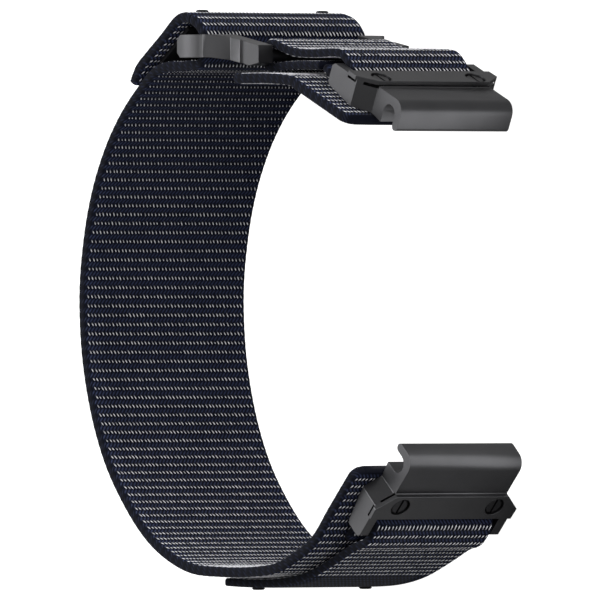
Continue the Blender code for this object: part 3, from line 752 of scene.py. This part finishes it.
# %% Softened copies of the metal nodes
WELD = 0.001 * MM                       # points closer than this are one point
EDGE_ANGLE = math.radians(32)           # sharper than this is an edge, and gets a bevel
FLAT_ANGLE = math.radians(2)


def softened(node, name, width, material, fit=None):
    """Merge a copy of a CAD mesh, clear its flat triangles and round its edges."""
    mesh = NODES[node].data.copy()
    mesh.materials.clear()
    bm = bmesh.new()
    bm.from_mesh(mesh)
    bmesh.ops.remove_doubles(bm, verts=bm.verts, dist=WELD)
    bmesh.ops.dissolve_limit(bm, angle_limit=FLAT_ANGLE, verts=bm.verts, edges=bm.edges)
    if fit:
        bm.normal_update()
        fit(bm)
    bm.to_mesh(mesh)
    bm.free()
    mesh.shade_smooth()
    mesh.set_sharp_from_angle(angle=EDGE_ANGLE)
    obj = bpy.data.objects.new(name, mesh)
    bpy.context.scene.collection.objects.link(obj)
    mesh.materials.append(material)
    bevel = obj.modifiers.new("edges", "BEVEL")
    bevel.width = width
    bevel.segments = 2
    bevel.limit_method = "ANGLE"
    bevel.angle_limit = EDGE_ANGLE
    bevel.harden_normals = True
    return obj


# %% [markdown]
# ## Plates and springs
# A plate is pressed into its seat, while its solid has a little play all round, so the plate's
# rim is moved out and its screw holes are left alone. At a corner the vertex normal is the mean
# of three faces that meet square, so a step of room times the root of three along it carries each
# of them out by the room. A coil spring gets shorter when its claw draws back; here each one is a
# plain copy that rides on its connector.

# %% Plates
PLATE_ROOM = 0.26 * MM      # play round a plate in its seat, which pressing takes up
SCREW_REACH = 1.6 * MM      # points nearer than this to a screw's axis stay


def middle_of(node):
    """The middle of a node's box."""
    return sum((Vector(corner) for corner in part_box(node)), Vector()) / 2


def pressed_in(side):
    """A plate's rim moves out to its seat: each outer vertex goes sideways along its normal."""
    out = Vector((*outward(side), 0.0))
    screws = [middle_of(f"{side}_screw_{end}") for end in ("near", "far")]

    def fit(bm):
        for vertex in bm.verts:
            away = [vertex.co - screw for screw in screws]
            if min((step - out * step.dot(out)).length for step in away) < SCREW_REACH:
                continue
            sideways = vertex.normal - out * vertex.normal.dot(out)
            vertex.co += sideways * PLATE_ROOM * math.sqrt(3.0)

    return fit


def make_springs():
    """Copies of the coil springs in spring steel, each riding on its connector."""
    for side in ("upper", "lower"):
        for end in ("near", "far"):
            node = f"{side}_spring_{end}"
            mesh = NODES[node].data.copy()
            mesh.materials.clear()
            mesh.materials.append(SPRING)
            coil = bpy.data.objects.new(f"{node}_coil", mesh)
            bpy.context.scene.collection.objects.link(coil)
            settle(coil, f"{side}_connector", "spring_steel", node)
            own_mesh(coil)


# %% Make the metal


def make_metal():
    """Softened copies of the ring, frames, plates, claws and screws: body, slot, bevel in mm."""
    pieces = {"ring": ("ring", "coated_steel", COATED, 0.22)}
    for side in ("upper", "lower"):
        body = f"{side}_connector"
        pieces[f"{side}_frame"] = (body, "coated_steel", COATED, 0.12)
        pieces[f"{side}_plate"] = (body, "coated_steel", COATED, 0.08)
        pieces[f"{side}_latch"] = (f"{side}_latch", "coated_steel", COATED, 0.08)
        for end in ("near", "far"):
            pieces[f"{side}_screw_{end}"] = (body, "screw_steel", SCREWS, 0.04)
    for node, (body, slot, material, width) in pieces.items():
        fit = pressed_in(node.split("_")[0]) if node.endswith("plate") else None
        settle(softened(node, f"{node}_soft", width * MM, material, fit), body, slot, node)


make_metal()
make_springs()

# %% [markdown]
# ## Bar tacks and hook tape
# A bar tack is a few dozen passes of thread over the same millimetre, and reads as a ridged bead.
# The hook tape is hidden between the tail and the band, so its solid only gets the black finish.

# %% Tacks
TACK_SUNK = 0.12 * MM
TACK_RIDGES, RIDGE_DEPTH = 8, 0.10
TACK_SIDES = 12


def make_tack(node, body, toward):
    """A bead along Z whose radius swells at each ridge and closes at both ends like t^6."""
    low, high = (np.array(corner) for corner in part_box(node))
    middle = (low + high) / 2 + np.array([0.0, toward * TACK_SUNK, 0.0])
    half = (high - low) / 2
    t = np.linspace(-1.0, 1.0, 4 * TACK_RIDGES + 1)[:, None]
    turn = np.linspace(0, math.tau, TACK_SIDES, endpoint=False)[None, :]
    ridge = 1.0 + RIDGE_DEPTH * np.cos(t * TACK_RIDGES * math.pi)
    swell = np.sqrt(np.clip(1.0 - t ** 6, 0.0, 1.0)) * ridge
    x = middle[0] + half[0] * swell * np.cos(turn)
    y = middle[1] + half[1] * swell * np.sin(turn)
    z = middle[2] + half[2] * t + 0.0 * turn
    verts = np.stack([x, y, z], -1)
    obj = mesh_object(f"{node}_thread", verts, tube_faces(len(t), turn.size)[:, ::-1].tolist())
    bm = bmesh.new()
    bm.from_mesh(obj.data)
    bmesh.ops.remove_doubles(bm, verts=bm.verts, dist=WELD)
    bmesh.ops.recalc_face_normals(bm, faces=bm.faces)
    bm.to_mesh(obj.data)
    bm.free()
    obj.data.materials.append(BLACK)
    settle(obj, body, "black_tape", node)


for tack in ("fold_tack_near", "fold_tack_far"):
    make_tack(tack, "tail", -1.0)
for tack in ("lower_tack_near", "lower_tack_far"):
    make_tack(tack, "band", 1.0)
print("tacks made")

# %% Hook tape
HOOK_TAPE = NODES["hook_patch"].data
HOOK_TAPE.materials.clear()
HOOK_TAPE.materials.append(BLACK)
print("hook tape:", len(HOOK_TAPE.polygons), "faces")
